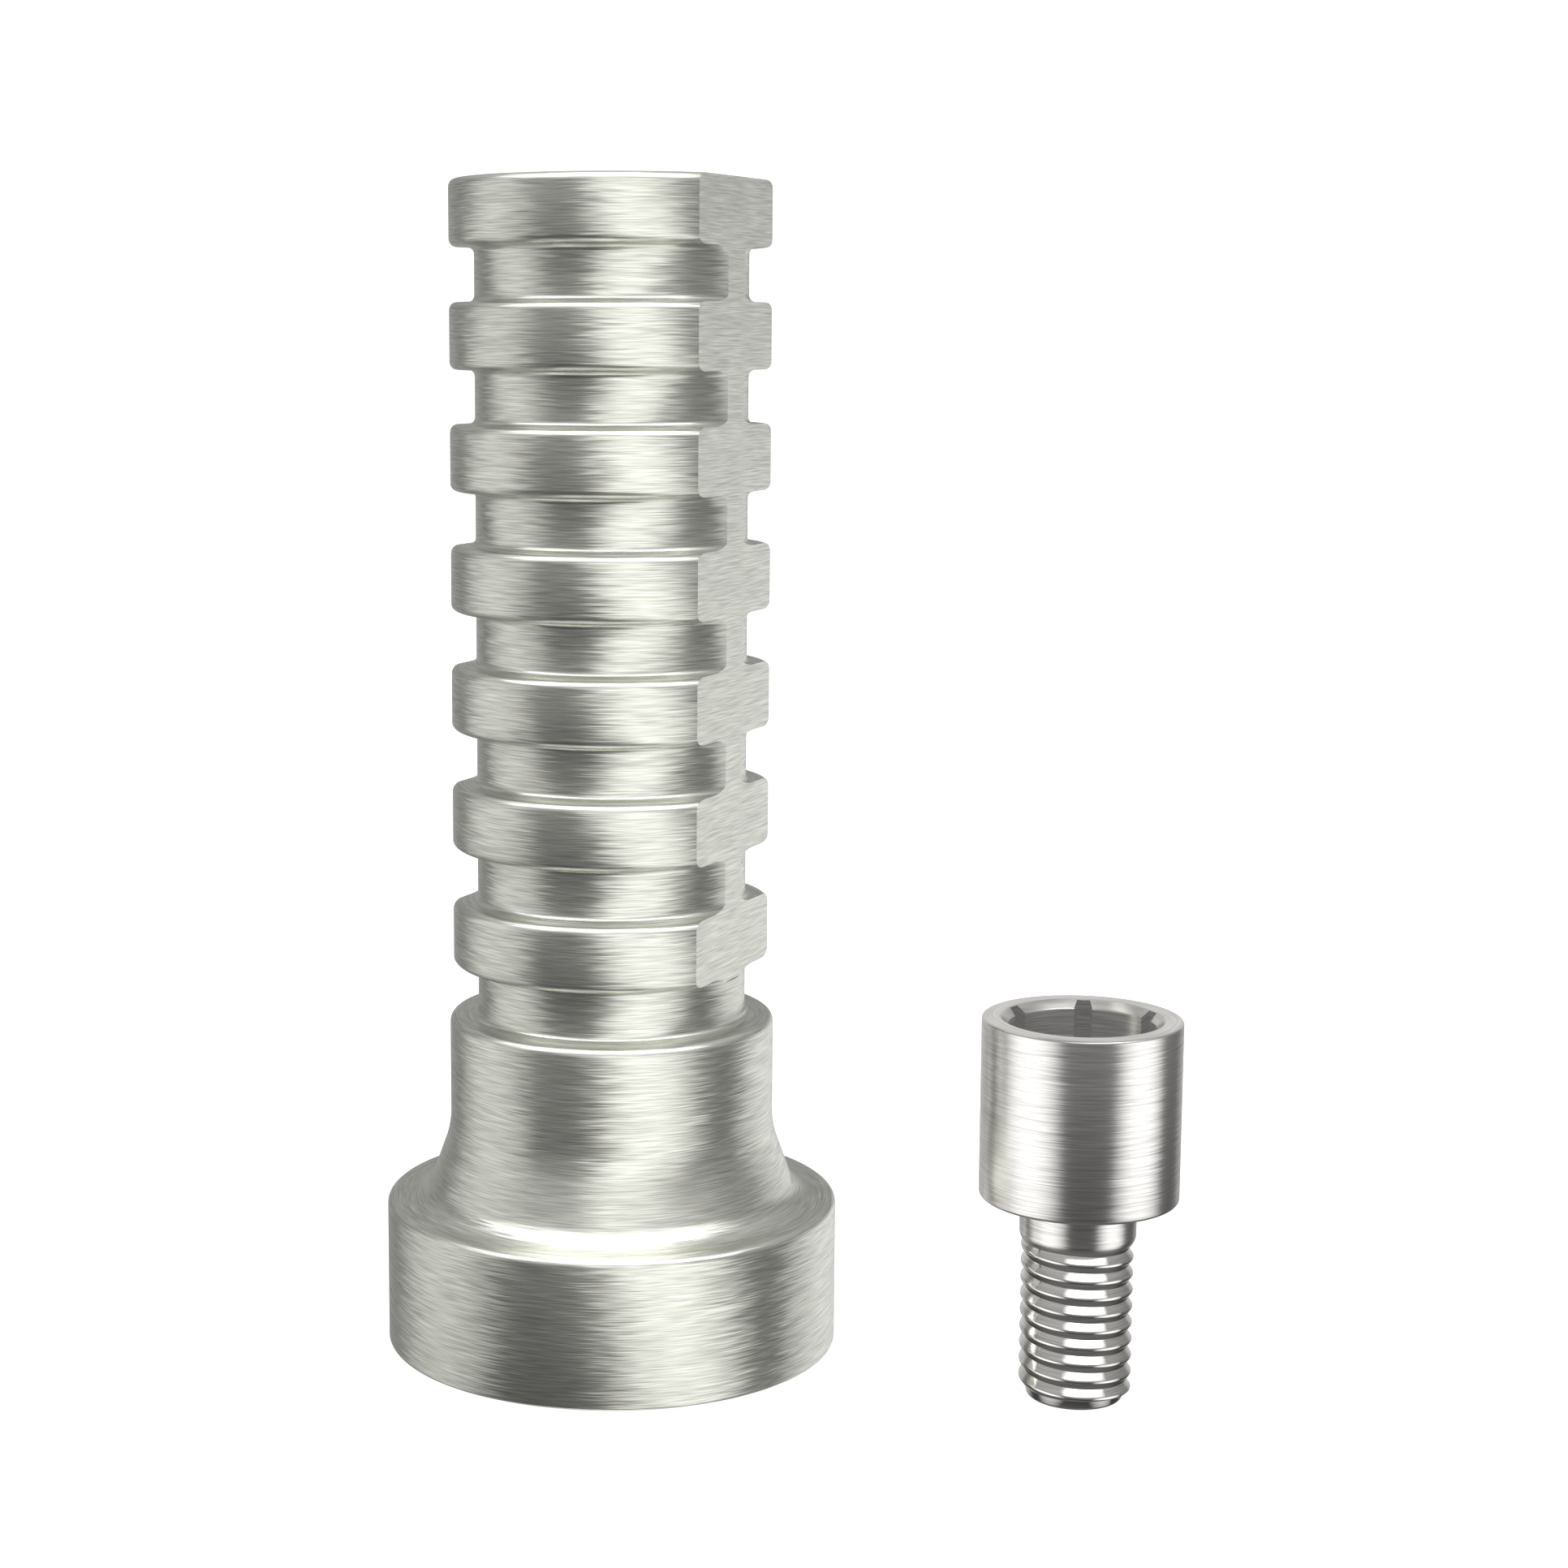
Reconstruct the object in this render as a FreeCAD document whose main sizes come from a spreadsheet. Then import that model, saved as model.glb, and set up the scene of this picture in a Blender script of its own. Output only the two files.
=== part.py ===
import FreeCAD, Part
import os
import Sketcher

# A turned dental abutment standing on its foot, with its retaining screw taken out and
# stood on its tip beside it. Millimetres, Z up, the origin at the centre of the foot's
# underside and the viewer on the -Y side.

doc = FreeCAD.newDocument("abutment_and_screw")
sheet = doc.addObject("Spreadsheet::Sheet", "sizes")

DIMENSIONS = (
    # The foot, the cone above it and the smooth neck.
    ("foot_d", 4.8), ("foot_h", 1.55), ("foot_edge", 0.07), ("foot_under_edge", 0.03),
    ("cone_slope", 20), ("cone_top_h", 2.31), ("cone_root", 0.1),
    ("neck_d", 3.434), ("neck_top_h", 3.535),
    # The ribbed column.
    ("rib_d", 3.36), ("rib_h", 0.69), ("rib_count", 7), ("rib_edge", 0.06),
    ("furrow_d", 2.83), ("furrow_h", 0.555), ("furrow_root", 0.05),
    # The long flats down opposite sides of the column.
    ("flat_reach", 1.4), ("flat_turn", -25.8), ("flat_foot_lift", 0.485), ("flat_count", 2),
    # The seat for the platform, under the foot, and the web that the screw pulls on.
    ("platform_d", 3.9), ("platform_land", 0.35), ("platform_depth", 1.35),
    ("platform_top_d", 2.6), ("web_h", 0.6), ("screw_gap", 0.1),
    # The screw, and where it stands.
    ("head_d", 2.0), ("head_h", 1.84), ("head_edge", 0.04),
    ("stem_d", 1.17), ("stem_l", 1.96), ("tip_d", 1.0), ("tip_l", 0.12), ("nose_d", 0.96),
    ("socket_d", 1.462), ("socket_depth", 1.0), ("socket_mouth", 0.085),
    ("notch_reach", 0.805), ("notch_w", 0.15), ("notch_count", 6), ("notch_turn", 80.1),
    ("screw_x", 4.705), ("screw_y", -1.9),
)

DERIVED = (
    ("pitch", "=rib_h + furrow_h"),
    ("column_top_h", "=neck_top_h + rib_count * pitch"),
    ("furrow_depth", "=(rib_d - furrow_d) / 2"),
    ("seat_h", "=platform_depth + web_h"),
    ("channel_d", "=head_d + 2 * screw_gap"),
    ("hole_d", "=stem_d + 2 * screw_gap"),
    ("head_foot_h", "=tip_l + stem_l"),
    ("screw_l", "=head_foot_h + head_h"),
)

for row, (name, value) in enumerate(DIMENSIONS + DERIVED, 1):
    sheet.set("A%d" % row, name)
    sheet.set("B%d" % row, str(value))
    sheet.setAlias("B%d" % row, name)
doc.recompute()


def size(name):
    return float(sheet.get(name))


def new_body(label):
    body = doc.addObject("PartDesign::Body", label)
    body.Label = label
    return body


def origin_feature(body, role):
    return [item for item in body.Origin.OriginFeatures if item.Role == role][0]


def outline(body, plane, name, corners):
    """A closed sketch of straight sides, every corner placed by two expressions."""
    sketch = body.newObject("Sketcher::SketchObject", name)
    sketch.AttachmentSupport = (origin_feature(body, plane), "")
    sketch.MapMode = "FlatFace"
    spots = []
    for across, up in corners:
        spots.append(FreeCAD.Vector(float(sketch.evalExpression(across)),
                                    float(sketch.evalExpression(up)), 0))
    count = len(spots)
    for i in range(count):
        sketch.addGeometry(Part.LineSegment(spots[i], spots[(i + 1) % count]), False)
    for i in range(count):
        sketch.addConstraint(Sketcher.Constraint("Coincident", i, 2, (i + 1) % count, 1))
    for i, corner in enumerate(corners):
        for kind, value, words in (("DistanceX", spots[i].x, corner[0]),
                                   ("DistanceY", spots[i].y, corner[1])):
            index = sketch.addConstraint(Sketcher.Constraint(kind, -1, 1, i, 1, value))
            sketch.setExpression("Constraints[%d]" % index, words)
    return sketch


def turned(body, kind, name, corners):
    """Turns an outline in the XZ plane about Z, to add or to cut."""
    sketch = outline(body, "XZ_Plane", name + "_section", corners)
    feature = body.newObject(kind, name)
    feature.Profile = sketch
    feature.ReferenceAxis = (sketch, ["V_Axis"])
    feature.Angle = 360
    doc.recompute()
    return feature


def rings(feature, radius, heights):
    """Names of the circular edges about Z with this radius at one of these heights."""
    names = []
    for number, edge in enumerate(feature.Shape.Edges, 1):
        curve = edge.Curve
        if not isinstance(curve, Part.Circle) or abs(curve.Radius - radius) > 1e-4:
            continue
        if min(abs(curve.Center.z - height) for height in heights) < 1e-4:
            names.append("Edge%d" % number)
    return names


def eased(body, kind, name, base, edges, words):
    """Rounds or bevels edges by the size that the expression gives."""
    feature = body.newObject(kind, name)
    feature.Base = (base, edges)
    feature.setExpression("Radius" if kind.endswith("Fillet") else "Size", words)
    doc.recompute()
    return feature


def repeated_round(body, name, original, words):
    """Repeats a cut evenly about Z, as often as the expression gives."""
    feature = body.newObject("PartDesign::PolarPattern", name)
    feature.Originals = [original]
    feature.Axis = (origin_feature(body, "Z_Axis"), [""])
    feature.Angle = 360
    feature.setExpression("Occurrences", words)
    body.Tip = feature
    doc.recompute()


# The abutment: foot, cone, neck and plain column turned as one piece.
abutment = new_body("abutment")
blank = turned(abutment, "PartDesign::Revolution", "blank", (
    ("0", "0"),
    ("sizes.foot_d / 2", "0"),
    ("sizes.foot_d / 2", "sizes.foot_h"),
    ("sizes.neck_d / 2 + (sizes.cone_top_h - sizes.foot_h) * tan(sizes.cone_slope * 1deg)",
     "sizes.foot_h"),
    ("sizes.neck_d / 2", "sizes.cone_top_h"),
    ("sizes.neck_d / 2", "sizes.neck_top_h"),
    ("sizes.rib_d / 2", "sizes.neck_top_h"),
    ("sizes.rib_d / 2", "sizes.column_top_h"),
    ("0", "sizes.column_top_h"),
))

# One furrow cut all round, repeated up the column, leaves the ribs.
furrow = turned(abutment, "PartDesign::Groove", "furrow", (
    ("sizes.furrow_d / 2", "sizes.neck_top_h"),
    ("sizes.neck_d", "sizes.neck_top_h"),
    ("sizes.neck_d", "sizes.neck_top_h + sizes.furrow_h"),
    ("sizes.furrow_d / 2", "sizes.neck_top_h + sizes.furrow_h"),
))
furrows = abutment.newObject("PartDesign::LinearPattern", "furrows")
furrows.Originals = [furrow]
furrows.Direction = (origin_feature(abutment, "Z_Axis"), [""])
furrows.setExpression("Occurrences", "sizes.rib_count")
furrows.setExpression("Length", "sizes.pitch * (sizes.rib_count - 1)")
abutment.Tip = furrows
doc.recompute()

# Edges are eased before the bore and the flats, so both cut clean through the rounds. In
# a shallow furrow neither bevel takes more than its share of the furrow's wall.
undersides = [size("neck_top_h") + size("furrow_h") + i * size("pitch")
              for i in range(int(size("rib_count")))]
upsides = [size("neck_top_h") + (i + 1) * size("pitch")
           for i in range(int(size("rib_count")))]
edges = rings(furrows, size("rib_d") / 2, undersides + upsides)
edges += rings(furrows, size("neck_d") / 2, [size("neck_top_h")])
eased_ribs = eased(abutment, "PartDesign::Chamfer", "eased_ribs", furrows, edges,
                   "min(sizes.rib_edge; sizes.furrow_depth * 0.45)")

roots = rings(eased_ribs, size("furrow_d") / 2, undersides + upsides + [size("neck_top_h")])
eased_roots = eased(abutment, "PartDesign::Chamfer", "eased_roots", eased_ribs, roots,
                    "min(sizes.furrow_root; sizes.furrow_depth * 0.45)")

foot_rim = rings(eased_roots, size("foot_d") / 2, [size("foot_h")])
eased_foot = eased(abutment, "PartDesign::Fillet", "eased_foot", eased_roots, foot_rim,
                   "sizes.foot_edge")

sill = rings(eased_foot, size("foot_d") / 2, [0.0])
eased_sill = eased(abutment, "PartDesign::Chamfer", "eased_sill", eased_foot, sill,
                   "sizes.foot_under_edge")

cone_foot = [name for name in
             ("Edge%d" % (i + 1) for i in range(len(eased_sill.Shape.Edges)))
             if isinstance(eased_sill.Shape.getElement(name).Curve, Part.Circle)
             and abs(eased_sill.Shape.getElement(name).Curve.Center.z - size("foot_h")) < 1e-4
             and eased_sill.Shape.getElement(name).Curve.Radius
             < size("foot_d") / 2 - 2 * size("foot_edge")]
eased_cone = eased(abutment, "PartDesign::Fillet", "eased_cone", eased_sill, cone_foot,
                   "sizes.cone_root")

# The inside: the platform's seat, the hole in the web and the channel for the screw.
inside = turned(abutment, "PartDesign::Groove", "inside", (
    ("0", "0"),
    ("sizes.platform_d / 2", "0"),
    ("sizes.platform_d / 2", "sizes.platform_land"),
    ("sizes.platform_top_d / 2", "sizes.platform_depth"),
    ("sizes.hole_d / 2", "sizes.platform_depth"),
    ("sizes.hole_d / 2", "sizes.seat_h"),
    ("sizes.channel_d / 2", "sizes.seat_h"),
    ("sizes.channel_d / 2", "sizes.column_top_h"),
    ("0", "sizes.column_top_h"),
))

# Each flat is cut from the top down to just under the lowest rib.
flat_area = outline(abutment, "XY_Plane", "flat_area", (
    ("sizes.flat_reach", "-sizes.rib_d"),
    ("sizes.rib_d", "-sizes.rib_d"),
    ("sizes.rib_d", "sizes.rib_d"),
    ("sizes.flat_reach", "sizes.rib_d"),
))
flat_area.setExpression("AttachmentOffset.Base.z", "sizes.column_top_h")
flat_area.setExpression("AttachmentOffset.Rotation.Angle", "sizes.flat_turn")
flat = abutment.newObject("PartDesign::Pocket", "flat")
flat.Profile = flat_area
flat.setExpression("Length",
                   "sizes.column_top_h - sizes.neck_top_h - sizes.flat_foot_lift")
doc.recompute()
repeated_round(abutment, "flats", flat, "sizes.flat_count")

# The screw: head, stem and tapered tip turned as one piece. The stem has the thread's
# full width.
screw = new_body("retaining_screw")
screw.setExpression("Placement.Base.x", "sizes.screw_x")
screw.setExpression("Placement.Base.y", "sizes.screw_y")
stem = turned(screw, "PartDesign::Revolution", "stem", (
    ("0", "0"),
    ("sizes.nose_d / 2", "0"),
    ("sizes.tip_d / 2", "sizes.tip_l"),
    ("sizes.stem_d / 2", "sizes.tip_l"),
    ("sizes.stem_d / 2", "sizes.head_foot_h"),
    ("sizes.head_d / 2", "sizes.head_foot_h"),
    ("sizes.head_d / 2", "sizes.screw_l"),
    ("0", "sizes.screw_l"),
))
rims = rings(stem, size("head_d") / 2, [size("head_foot_h"), size("screw_l")])
eased_head = eased(screw, "PartDesign::Chamfer", "eased_head", stem, rims, "sizes.head_edge")

# The driver socket: a bevelled round hole with notches all round it.
socket = turned(screw, "PartDesign::Groove", "socket", (
    ("0", "sizes.screw_l - sizes.socket_depth"),
    ("sizes.socket_d / 2", "sizes.screw_l - sizes.socket_depth"),
    ("sizes.socket_d / 2", "sizes.screw_l - sizes.socket_mouth"),
    ("sizes.socket_d / 2 + sizes.socket_mouth", "sizes.screw_l"),
    ("0", "sizes.screw_l"),
))
notch_area = outline(screw, "XY_Plane", "notch_area", (
    ("sizes.socket_d / 4", "-sizes.notch_w / 2"),
    ("sizes.notch_reach", "-sizes.notch_w / 2"),
    ("sizes.notch_reach", "sizes.notch_w / 2"),
    ("sizes.socket_d / 4", "sizes.notch_w / 2"),
))
notch_area.setExpression("AttachmentOffset.Base.z", "sizes.screw_l")
notch_area.setExpression("AttachmentOffset.Rotation.Angle", "sizes.notch_turn")
notch = screw.newObject("PartDesign::Pocket", "notch")
notch.Profile = notch_area
notch.setExpression("Length", "sizes.socket_depth")
doc.recompute()
repeated_round(screw, "notches", notch, "sizes.notch_count")

doc.recompute()
for item in doc.Objects:
    if "Invalid" in item.State or "Error" in item.State:
        raise RuntimeError("%s did not build" % item.Label)

os.makedirs("parts", exist_ok=True)
for body in (abutment, screw):
    if body.Shape.isNull() or not body.Shape.isValid():
        raise RuntimeError("%s has no valid solid" % body.Label)
    body.Shape.exportStep("parts/%s.step" % body.Label)
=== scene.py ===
import bmesh
import bpy
import math
from mathutils import Matrix, Vector


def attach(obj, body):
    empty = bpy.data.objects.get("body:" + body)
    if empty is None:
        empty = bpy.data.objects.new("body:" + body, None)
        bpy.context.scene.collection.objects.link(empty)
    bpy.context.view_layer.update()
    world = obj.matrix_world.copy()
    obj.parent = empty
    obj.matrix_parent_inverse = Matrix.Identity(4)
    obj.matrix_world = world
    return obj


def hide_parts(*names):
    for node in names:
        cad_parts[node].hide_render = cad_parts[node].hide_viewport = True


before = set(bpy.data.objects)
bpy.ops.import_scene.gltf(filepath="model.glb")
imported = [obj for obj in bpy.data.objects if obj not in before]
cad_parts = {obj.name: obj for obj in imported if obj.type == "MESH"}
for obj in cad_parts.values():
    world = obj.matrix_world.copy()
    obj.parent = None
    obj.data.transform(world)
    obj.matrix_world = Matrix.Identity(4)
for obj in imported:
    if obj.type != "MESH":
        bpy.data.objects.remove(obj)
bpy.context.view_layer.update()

# The camera stands a few centimetres off, level with the abutment's upper ribs and
# looking a little down. The frame is shifted sideways, so that the abutment is seen
# square on although it stands left of the middle.
mm = 0.001
camera_back, camera_h, camera_dip = 29.87, 10.72, 8.04

camera_data = bpy.data.cameras.new("camera")
camera_data.sensor_width = 36
camera_data.lens = 65.83
camera_data.shift_x = 0.1099
camera_data.shift_y = -0.0312
camera_data.clip_start = 1 * mm
camera = bpy.data.objects.new("camera", camera_data)
camera.location = (0, -camera_back * mm, camera_h * mm)
camera.rotation_euler = (math.radians(90 - camera_dip), 0, 0)
bpy.context.scene.collection.objects.link(camera)
bpy.context.scene.camera = camera
bpy.context.scene.view_settings.view_transform = "Standard"


# The floor is one pale sheet that sweeps up into a wall all round, far behind the
# pieces. It glows a little, as a sheet lit from behind does, and takes soft shadows.
floor_r, wall_h, wall_bend, floor_eye_r = 0.5, 0.6, 0.3, 0.0001


def drawn(work, corners):
    """Draws a line through corners of (radius, height) and gives its points."""
    points = [work.verts.new((r, 0, z)) for r, z in corners]
    for first, second in zip(points, points[1:]):
        work.edges.new((first, second))
    return points


def rounded(work, point, offset, segments):
    bmesh.ops.bevel(work, geom=[point], offset=offset, segments=segments, profile=0.5,
                    affect="VERTICES", material=-1)


def spun(work, steps):
    """Spins the line once round Z."""
    bmesh.ops.spin(work, geom=work.verts[:] + work.edges[:], cent=(0, 0, 0), axis=(0, 0, 1),
                   angle=2 * math.pi, steps=steps, use_merge=True)


def as_mesh(work, name):
    mesh = bpy.data.meshes.new(name)
    work.to_mesh(mesh)
    work.free()
    return mesh


def linked(mesh, name):
    piece = bpy.data.objects.new(name, mesh)
    bpy.context.scene.collection.objects.link(piece)
    return piece


class Wire:
    """A shader socket. Sums and products of it add Math nodes to its tree."""

    def __init__(self, socket):
        self.socket = socket

    def worked(self, operation, first, second):
        node = self.socket.id_data.nodes.new("ShaderNodeMath")
        node.operation = operation
        for slot, value in zip(node.inputs, (first, second)):
            if isinstance(value, Wire):
                self.socket.id_data.links.new(value.socket, slot)
            else:
                slot.default_value = value
        return Wire(node.outputs[0])

    def __add__(self, other):
        return self.worked("ADD", self, other)

    def __sub__(self, other):
        return self.worked("SUBTRACT", self, other)

    def __rsub__(self, other):
        return self.worked("SUBTRACT", other, self)

    def __mul__(self, other):
        return self.worked("MULTIPLY", self, other)

    __radd__ = __add__
    __rmul__ = __mul__

    def above(self, limit):
        return self.worked("GREATER_THAN", self, limit)


class Finish:
    """A node tree, with one method that adds any node."""

    def __init__(self, owner):
        owner.use_nodes = True
        self.tree = owner.node_tree
        self.tree.nodes.clear()

    def node(self, kind, settings=None, sockets=None, out=0):
        node = self.tree.nodes.new(kind)
        for name, value in (settings or {}).items():
            setattr(node, name, value)
        for name, value in (sockets or {}).items():
            if isinstance(value, Wire):
                self.tree.links.new(value.socket, node.inputs[name])
            else:
                node.inputs[name].default_value = value
        return Wire(node.outputs[out]) if node.outputs else None

    def parts(self, wire):
        """The three parts of a vector or a colour."""
        first = self.node("ShaderNodeSeparateXYZ", sockets={0: wire})
        return [Wire(output) for output in first.socket.node.outputs]


sweep = bmesh.new()
sweep_line = drawn(sweep, ((floor_r, wall_h), (floor_r, 0), (floor_eye_r, 0)))
rounded(sweep, sweep_line[1], wall_bend, segments=16)
spun(sweep, steps=96)
# The spin leaves a tiny eye in the middle, which is filled.
floor_eye = [edge for edge in sweep.edges
             if edge.is_boundary and edge.verts[0].co.xy.length < 2 * floor_eye_r]
bmesh.ops.holes_fill(sweep, edges=floor_eye, sides=0)
bmesh.ops.recalc_face_normals(sweep, faces=sweep.faces[:])
for face in sweep.faces:
    face.smooth = True
floor = linked(as_mesh(sweep, "floor"), "floor")
floor.visible_glossy = False

paper = bpy.data.materials.new("pale_paper")
paper_finish = Finish(paper)
paper_body = paper_finish.node("ShaderNodeBsdfPrincipled", sockets={
    "Base Color": (0.35, 0.35, 0.35, 1), "Roughness": 0.9, "Specular IOR Level": 0,
    "Emission Color": (1, 1, 1, 1), "Emission Strength": 0.85})
paper_finish.node("ShaderNodeOutputMaterial", sockets={"Surface": paper_body})
floor.data.materials.append(paper)


# The abutment is turned from one titanium bar: a round foot, a cone, a neck and a
# column with furrows for the cement or resin to hold in. The inside is bored through
# for the screw, and a long flat is milled down either side.
abutment_place = (0, 0, 0)
foot_r, foot_h = 2.4, 1.55
cone_foot_r, neck_r = 1.993, 1.717
cone_top_h, neck_top_h = 2.31, 3.535
rib_r, rib_h, rib_count = 1.68, 0.69, 7
furrow_r, furrow_h = 1.415, 0.555
channel_r, hole_r, seat_h = 1.1, 0.685, 1.95
recess_r, recess_land, recess_top_r, recess_h = 1.95, 0.35, 1.3, 1.35
flat_reach, flat_turn, flat_foot_h = 1.4, math.radians(-25.8), 4.015
foot_round, cone_root_round, neck_round = 0.07, 0.2, 0.16
rib_round, furrow_round, mouth_round, edge_round = 0.085, 0.07, 0.05, 0.03
mill_l, mill_w, mill_h = 2, 6, 10
crisp_angle = math.radians(35)
hair = 0.001


def turned(section, name, steps):
    """Spins a section of (radius, height, rounding) about Z, in millimetres. One that
    starts on the axis stays open there, and its two ends become poles."""
    work = bmesh.new()
    points = drawn(work, [(r, z) for r, z, _ in section])
    if section[0][0]:
        work.edges.new((points[-1], points[0]))
    for point, (_, _, rounding) in zip(points, section):
        if rounding:
            rounded(work, point, rounding, segments=6)
    spun(work, steps)
    bmesh.ops.remove_doubles(work, verts=work.verts[:], dist=1e-5)
    bmesh.ops.recalc_face_normals(work, faces=work.faces[:])
    return as_mesh(work, name)


def cut(mesh, tool):
    """Takes the tool's solid out of the mesh."""
    piece, cutter = linked(mesh, "cut_piece"), linked(as_mesh(tool, "cutter"), "cutter")
    boolean = piece.modifiers.new("cut", "BOOLEAN")
    boolean.operation = "DIFFERENCE"
    boolean.solver = "EXACT"
    boolean.object = cutter
    bpy.context.view_layer.update()
    made = bpy.data.meshes.new_from_object(
        piece.evaluated_get(bpy.context.evaluated_depsgraph_get()))
    for spent in (piece, cutter):
        bpy.data.objects.remove(spent)
    return made


def finished(mesh, name, place, material, flat_face=None):
    """Marks the crisp edges, brings the mesh to its place in metres and evens its shading.
    The faces that flat_face picks out keep a crisp edge all round."""
    work = bmesh.new()
    work.from_mesh(mesh)
    for face in work.faces:
        face.smooth = True
    for edge in work.edges:
        faces = edge.link_faces
        edge.smooth = (len(faces) == 2 and edge.calc_face_angle(0) < crisp_angle
                       and not (flat_face and flat_face(faces[0]) != flat_face(faces[1])))
    bmesh.ops.transform(work, matrix=Matrix.Translation(Vector(place) * mm)
                        @ Matrix.Scale(mm, 4), verts=work.verts[:])
    work.to_mesh(mesh)
    work.free()
    piece = linked(mesh, name)
    even = piece.modifiers.new("even_shading", "WEIGHTED_NORMAL")
    even.keep_sharp = True
    even.weight = 80
    bpy.context.view_layer.update()
    piece.data = bpy.data.meshes.new_from_object(
        piece.evaluated_get(bpy.context.evaluated_depsgraph_get()))
    piece.modifiers.clear()
    piece.data.materials.clear()
    piece.data.materials.append(material)
    return piece


def turned_titanium(name, place, tone, dark_tone, streak, grain, lean, roughness,
                    milled=None, threaded=None):
    """Bright turned metal, with fine wavy lines round the axis that stands at place. Streak
    and grain say how fast the lines change along and across themselves, in each millimetre,
    and lean says how far they tilt the surface."""
    swell_scale, swell_rise = 2.6, 0.015
    line_fall, upright_share = 0.8, 0.4
    dark_share, tone_contrast = 0.3, 2.5
    thread_polish = 0.7

    material = bpy.data.materials.new(name)
    finish = Finish(material)
    spot = finish.node("ShaderNodeMapping", sockets={
        "Vector": finish.node("ShaderNodeTexCoord", out="Object"),
        "Location": -Vector(place), "Scale": (1 / mm, 1 / mm, 1 / mm)})
    x, y, z = finish.parts(spot)
    level = finish.node("ShaderNodeCombineXYZ", sockets={"X": x, "Y": y})
    out_r = finish.node("ShaderNodeVectorMath", {"operation": "LENGTH"}, {0: level},
                        out="Value")
    if milled:
        # On the flats the lines run straight along them.
        reach, turn, foot_h = milled
        way = x * math.cos(turn) + y * math.sin(turn)
        on_flat = (way * way).above((reach - hair) ** 2) * z.above(foot_h)
        out_r = out_r + on_flat * (reach - out_r)
    if threaded:
        # The thread is cut smoother than the rest.
        crest, top_h = threaded
        on_thread = (1 - out_r.above(crest)) * (1 - z.above(top_h))
        dulled = 1 - on_thread * thread_polish
        lean, roughness = lean * dulled, roughness * dulled

    # The lines climb the walls and cross the level faces at one even pitch.
    swell = finish.node("ShaderNodeTexNoise", sockets={
        "Vector": spot, "Scale": swell_scale, "Detail": 0})
    climb = z - out_r * line_fall + swell * swell_rise
    along = finish.node("ShaderNodeCombineXYZ", sockets={
        "X": x * streak, "Y": y * streak, "Z": climb * grain})
    lines = finish.node("ShaderNodeTexNoise", sockets={
        "Vector": along, "Scale": 1, "Detail": 1, "Roughness": 0.5}, out="Color")
    sideways, upright, shine = finish.parts(lines)

    # Each line leans the surface a little, mostly sideways along the line.
    round_way = finish.node("ShaderNodeCombineXYZ", sockets={"X": 0 - y, "Y": x})
    round_way = finish.node("ShaderNodeVectorMath", {"operation": "NORMALIZE"},
                            {0: round_way})
    aside = finish.node("ShaderNodeVectorMath", {"operation": "SCALE"},
                        {0: round_way, "Scale": (sideways - 0.5) * lean})
    rise = finish.node("ShaderNodeCombineXYZ", sockets={
        "Z": (upright - 0.5) * lean * upright_share})
    facing = finish.node("ShaderNodeNewGeometry", out="Normal")
    for part in (aside, rise):
        facing = finish.node("ShaderNodeVectorMath", {"operation": "ADD"},
                             {0: facing, 1: part})
    facing = finish.node("ShaderNodeVectorMath", {"operation": "NORMALIZE"}, {0: facing})

    colour = finish.node("ShaderNodeMix", {"data_type": "RGBA"}, {
        "Factor": (shine - dark_share) * tone_contrast, "A": dark_tone, "B": tone},
        out="Result")
    metal = finish.node("ShaderNodeBsdfPrincipled", sockets={
        "Base Color": colour, "Metallic": 1.0, "Anisotropic": 0.5,
        "Anisotropic Rotation": 0.25, "Roughness": roughness, "Normal": facing})
    finish.node("ShaderNodeOutputMaterial", sockets={"Surface": metal})
    return material


section = [(foot_r, 0, edge_round), (foot_r, foot_h, foot_round),
           (cone_foot_r, foot_h, cone_root_round), (neck_r, cone_top_h, neck_round),
           (neck_r, neck_top_h, rib_round), (furrow_r, neck_top_h, furrow_round)]
for rib in range(rib_count):
    rib_foot_h = neck_top_h + furrow_h + rib * (furrow_h + rib_h)
    section += [(furrow_r, rib_foot_h, furrow_round), (rib_r, rib_foot_h, rib_round),
                (rib_r, rib_foot_h + rib_h, rib_round)]
    if rib < rib_count - 1:
        section.append((furrow_r, rib_foot_h + rib_h, furrow_round))
column_top_h = rib_foot_h + rib_h
section += [(channel_r, column_top_h, mouth_round), (channel_r, seat_h, 0),
            (hole_r, seat_h, edge_round), (hole_r, recess_h, edge_round),
            (recess_top_r, recess_h, edge_round), (recess_r, recess_land, 0),
            (recess_r, 0, edge_round)]
abutment_mesh = turned(section, "abutment_turned", steps=240)

mill = bmesh.new()
for side in (0, math.pi):
    block = bmesh.ops.create_cube(mill, size=1)["verts"]
    bmesh.ops.transform(mill, verts=block, matrix=(
        Matrix.Rotation(flat_turn + side, 4, "Z")
        @ Matrix.Translation((flat_reach + mill_l / 2, 0, flat_foot_h + mill_h / 2))
        @ Matrix.Diagonal((mill_l, mill_w, mill_h, 1))))
abutment_mesh = cut(abutment_mesh, mill)
flat_way = Vector((math.cos(flat_turn), math.sin(flat_turn), 0))


def milled_face(face):
    """Whether the face lies in one of the two flats."""
    return (abs(face.normal.dot(flat_way)) > 0.99999
            and abs(abs(face.calc_center_median().dot(flat_way)) - flat_reach) < 1e-4)


abutment = finished(abutment_mesh, "turned_abutment", abutment_place, turned_titanium(
    "abutment_titanium", abutment_place, tone=(0.79, 0.795, 0.74, 1),
    dark_tone=(0.49, 0.495, 0.46, 1), streak=2.6, grain=95, lean=0.4, roughness=0.3,
    milled=(flat_reach, flat_turn, flat_foot_h)), milled_face)
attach(abutment, "root")
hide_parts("abutment")


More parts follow.
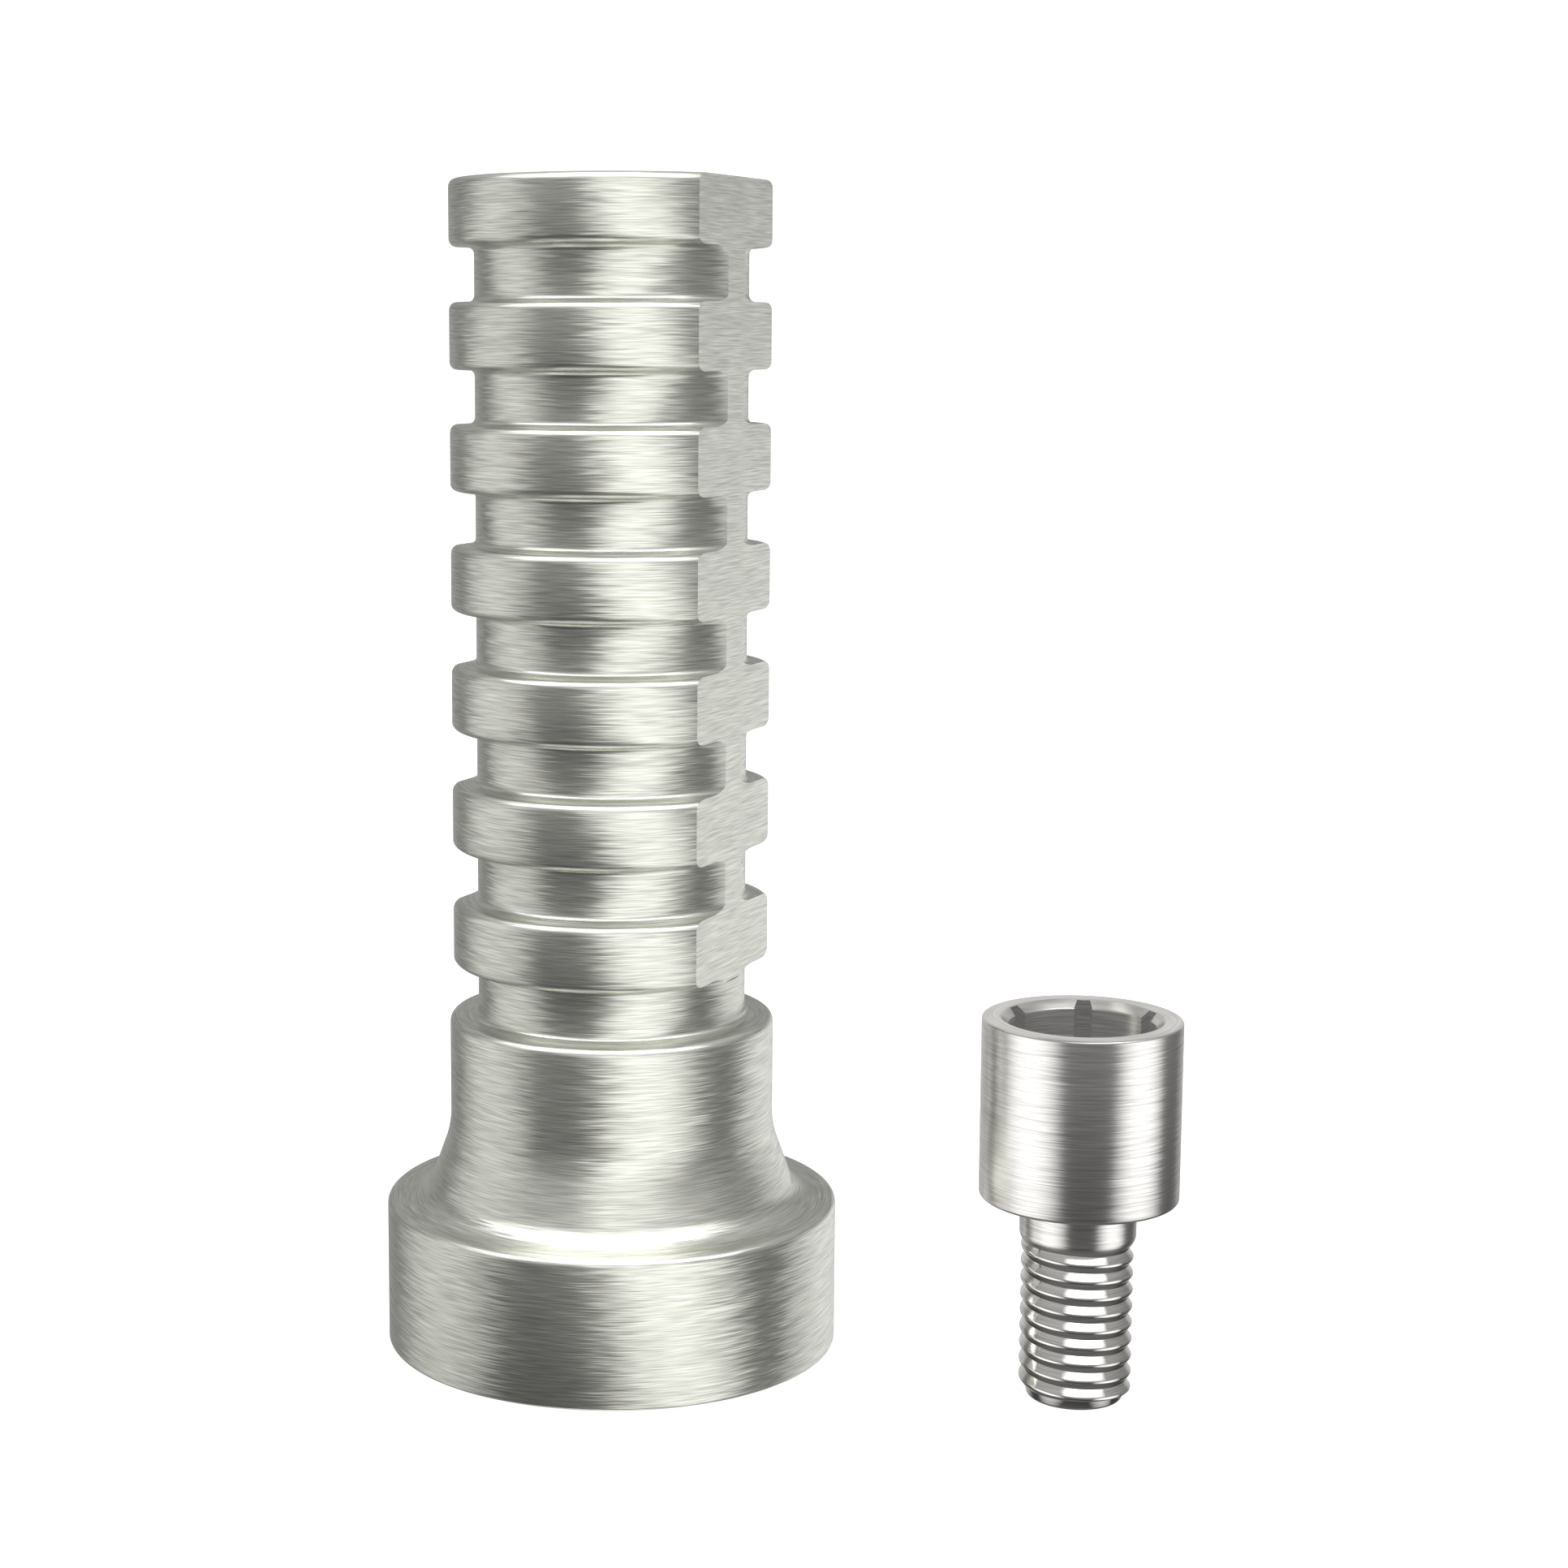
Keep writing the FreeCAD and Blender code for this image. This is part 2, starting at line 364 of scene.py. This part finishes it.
# The retaining screw is turned from the same metal: a plain head with a notched
# socket for the driver, a short shank, a fine thread and a narrower tip to lead it in.
screw_place = (4.705, -1.9, 0)
head_r, head_foot_h, screw_l = 1.0, 2.08, 3.92
shank_r, shank_foot_h, shank_ease = 0.585, 1.66, 0.03
root_r, crest_r, thread_pitch = 0.512, 0.573, 0.1713
thread_foot_h, thread_top_h = 0.12, shank_foot_h - shank_ease
thread_start_h, crest_round = 1.7343, 0.025
turn_steps, turn_count = 96, 12
tip_r, nose_r = 0.5, 0.48
socket_r, socket_depth, socket_mouth = 0.731, 1.0, 0.085
notch_count, notch_reach, notch_turn = 6, 0.805, math.radians(80.1)
notch_start, notch_outer_w, notch_inner_w = 0.66, 0.13, 0.23
notch_rise, notch_floor = 0.1, 0.05
head_round, corner_round, fine_round = 0.04, 0.02, 0.01

screw_mesh = turned([
    (0, 0, 0), (nose_r, 0, edge_round), (tip_r, thread_foot_h, 0), (root_r, thread_foot_h, 0),
    (root_r, thread_top_h, corner_round), (shank_r - shank_ease, thread_top_h, fine_round),
    (shank_r, shank_foot_h + shank_ease, edge_round), (shank_r, head_foot_h, corner_round),
    (head_r, head_foot_h, head_round), (head_r, screw_l, edge_round),
    (socket_r + socket_mouth, screw_l, fine_round),
    (socket_r, screw_l - socket_mouth, fine_round),
    (socket_r, screw_l - socket_depth, edge_round), (0, screw_l - socket_depth, 0)],
    "screw_turned", steps=144)

# The broach has one tooth for each notch, a little wider towards its middle.
broach = bmesh.new()
bmesh.ops.create_cube(broach, size=1)
for vert in broach.verts:
    outer, upper = vert.co.x > 0, vert.co.z > 0
    vert.co = (notch_reach if outer else notch_start,
               vert.co.y * (notch_outer_w if outer else notch_inner_w),
               screw_l + (notch_rise if upper else notch_floor - socket_depth))
bmesh.ops.rotate(broach, verts=broach.verts[:], cent=(0, 0, 0),
                 matrix=Matrix.Rotation(notch_turn, 3, "Z"))
tooth = broach.verts[:] + broach.edges[:] + broach.faces[:]
bmesh.ops.spin(broach, geom=tooth, cent=(0, 0, 0), axis=(0, 0, 1),
               angle=2 * math.pi * (notch_count - 1) / notch_count, steps=notch_count - 1,
               use_duplicate=True)
screw_mesh = cut(screw_mesh, broach)

# The thread is one ridge wound down the stem, cut square at both ends.
wound = bmesh.new()
ridge = drawn(wound, ((root_r, 0), (crest_r, thread_pitch / 2), (root_r, thread_pitch)))
rounded(wound, ridge[1], crest_round, segments=4)
bmesh.ops.spin(wound, geom=wound.verts[:] + wound.edges[:], cent=(0, 0, 0), axis=(0, 0, 1),
               dvec=(0, 0, -thread_pitch / turn_steps), angle=2 * math.pi * turn_count,
               steps=turn_steps * turn_count)
bmesh.ops.remove_doubles(wound, verts=wound.verts[:], dist=2e-4)
bmesh.ops.translate(wound, verts=wound.verts[:], vec=(0, 0, thread_start_h))
for cut_h, way in ((thread_foot_h, -1), (thread_top_h, 1)):
    bmesh.ops.bisect_plane(wound, geom=wound.verts[:] + wound.edges[:] + wound.faces[:],
                           plane_co=(0, 0, cut_h), plane_no=(0, 0, way), clear_outer=True)
    rim = [edge for edge in wound.edges if edge.is_boundary
           and all(abs(vert.co.z - cut_h) < 1e-5 for vert in edge.verts)]
    bmesh.ops.edgeloop_fill(wound, edges=rim)
bmesh.ops.recalc_face_normals(wound, faces=wound.faces[:])

joined = bmesh.new()
joined.from_mesh(screw_mesh)
joined.from_mesh(as_mesh(wound, "wound"))
joined.to_mesh(screw_mesh)
joined.free()
screw = finished(screw_mesh, "retaining_screw_turned", screw_place, turned_titanium(
    "screw_titanium", screw_place, tone=(0.78, 0.765, 0.75, 1),
    dark_tone=(0.52, 0.51, 0.5, 1), streak=1.8, grain=90, lean=0.14, roughness=0.28,
    threaded=(crest_r + 4 * hair, thread_top_h)))
screw.visible_glossy = False
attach(screw, "root")
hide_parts("retaining_screw")


# Tall soft boxes stand round each piece, as round small metalware in a studio, with
# dim gaps between them that draw the dark bands. A dim grey room and the pale table
# fill in from above and from below.
box_distance = 0.14


def softbox(name, piece, azimuth, height, half_width, half_height, brightness, tint, roll=0):
    """A lamp that lights one piece. It stands at two angles: azimuth from the viewer's side
    towards +X, and height above the level. Its half width and half height are the angles
    that the piece sees, and it fades towards its edges."""
    data = bpy.data.lights.new(name, "AREA")
    data.shape = "RECTANGLE"
    data.size = 2 * box_distance * math.tan(math.radians(half_width))
    data.size_y = 2 * box_distance * math.tan(math.radians(half_height))
    data.energy = brightness * math.pi * data.size * data.size_y
    data.color = tint
    shade = Finish(data)
    across, up, _ = shade.parts(shade.node("ShaderNodeNewGeometry", out="Parametric"))
    # The glow is full in the middle and falls to nothing at each edge.
    glow = shade.node("ShaderNodeEmission", sockets={
        "Strength": 16 * across * (1 - across) * up * (1 - up)})
    shade.node("ShaderNodeOutputLight", sockets={"Surface": glow})

    lamp = bpy.data.objects.new(name, data)
    turn, rise = math.radians(azimuth), math.radians(height)
    way = Vector((math.sin(turn) * math.cos(rise), -math.cos(turn) * math.cos(rise),
                  math.sin(rise)))
    middle = sum((Vector(corner) for corner in piece.bound_box), Vector()) / 8
    lamp.location = middle + way * box_distance
    lamp.rotation_euler = (way.to_track_quat("Z", "Y").to_matrix()
                           @ Matrix.Rotation(math.radians(roll), 3, "Z")).to_euler()
    bpy.context.scene.collection.objects.link(lamp)
    lit = bpy.data.collections.new(name + "_lit")
    lit.objects.link(piece)
    lamp.light_linking.receiver_collection = lit
    lamp.light_linking.blocker_collection = lit
    lamp.visible_camera = False


warm, cool, plain = (1, 0.998, 0.97), (1, 1, 0.985), (1, 0.995, 0.985)
softbox("front_box", abutment, 26, -13, 30, 60, 1.42, warm, roll=44)
softbox("left_box", abutment, -94, -14, 35, 45, 0.72, warm, roll=-30)
softbox("right_box", abutment, 132, -21, 38, 33, 0.87, cool)
softbox("back_box", abutment, 186, -28, 40, 42, 0.25, warm)
softbox("high_box", abutment, -8, 73, 58, 31, 3.3, plain)
softbox("low_box", abutment, 0, -85, 30, 20, 1.6, warm)
softbox("screw_left_box", screw, -68, -15, 38, 32, 1.75, plain)
softbox("screw_right_box", screw, 63, -15, 33, 32, 1.75, plain)
softbox("screw_back_box", screw, 178, 0, 50, 55, 0.5, plain)
softbox("screw_high_box", screw, 20, 48, 40, 15, 3.2, plain)

room = bpy.data.worlds.new("room")
bpy.context.scene.world = room
room_finish = Finish(room)
look_up = room_finish.parts(room_finish.node("ShaderNodeTexCoord", out="Generated"))[2]


def room_glow(start, end, start_glow, end_glow):
    """Eases from one glow to the other as the look turns up or down from start to end."""
    return room_finish.node("ShaderNodeMapRange", {"interpolation_type": "SMOOTHSTEP"}, {
        "Value": look_up, "From Min": start, "From Max": end,
        "To Min": start_glow, "To Max": end_glow})


walls, ceiling = room_glow(-0.5, 0.05, 0.07, 0.3), room_glow(0.1, 0.8, 0, 0.3)
table = room_glow(-0.6, -0.9, 0, 0.1)
air = room_finish.node("ShaderNodeBackground", sockets={
    "Color": (1, 1, 0.98, 1), "Strength": walls + ceiling + table})
room_finish.node("ShaderNodeOutputWorld", sockets={"Surface": air})

overhead_data = bpy.data.lights.new("overhead", "AREA")
overhead_data.size = 0.2
overhead_data.energy = 0.32
overhead = bpy.data.objects.new("overhead", overhead_data)
overhead.location = (0.02, -0.02, 0.2)
bpy.context.scene.collection.objects.link(overhead)
overhead.visible_glossy = False
